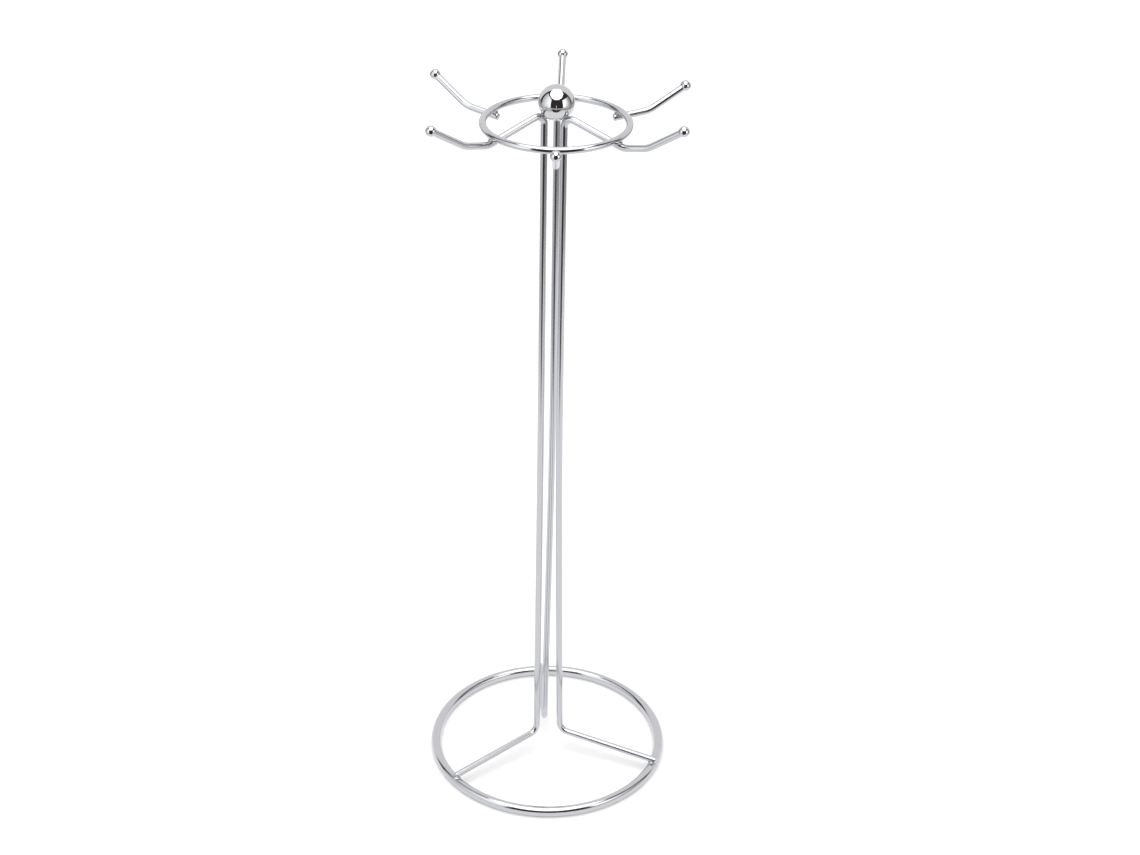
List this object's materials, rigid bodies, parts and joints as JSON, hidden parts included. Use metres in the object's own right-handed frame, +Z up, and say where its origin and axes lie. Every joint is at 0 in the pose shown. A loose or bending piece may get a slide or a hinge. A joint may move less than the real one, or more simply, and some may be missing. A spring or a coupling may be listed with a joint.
{
  "type": "mug tree",
  "caption": "Tall slender wire stand with a round ring foot, a bundle of upright wires, a ring near the top and ball-ended hooks round it for hanging mugs or utensils.",
  "frame": {"origin": "centre of the base ring on the surface that the stand rests on", "axes": "+Z up along the post bundle; -Y is the front, where one short hook points; +X is to the viewer's right"},
  "size_m": [0.15, 0.1627, 0.4472],
  "materials": {
    "chrome_wire": "mirror-bright chrome plate on drawn steel wire",
    "chrome_ball": "mirror-bright chrome plate on polished steel balls",
    "plated_weld": "chrome plate over resistance-weld beads, slightly uneven"
  },
  "bodies": {
    "root": {"base_ring": "chrome_wire", "top_ring": "chrome_wire", "long_wire_left": "chrome_wire", "long_wire_right": "chrome_wire", "long_wire_back": "chrome_wire", "short_hook_front": "chrome_wire", "short_hook_back_right": "chrome_wire", "short_hook_back_left": "chrome_wire", "hook_ball_left": "chrome_ball", "hook_ball_right": "chrome_ball", "hook_ball_back": "chrome_ball", "hook_ball_front": "chrome_ball", "hook_ball_back_right": "chrome_ball", "hook_ball_back_left": "chrome_ball", "finial_ball": "chrome_ball", "leg_weld_left": "plated_weld", "leg_weld_right": "plated_weld", "leg_weld_back": "plated_weld", "arm_weld_left": "plated_weld", "arm_weld_right": "plated_weld", "arm_weld_back": "plated_weld", "hook_weld_front": "plated_weld", "hook_weld_back_right": "plated_weld", "hook_weld_back_left": "plated_weld", "finial_weld_left": "plated_weld", "finial_weld_right": "plated_weld", "finial_weld_back": "plated_weld"}
  },
  "joints": []
}
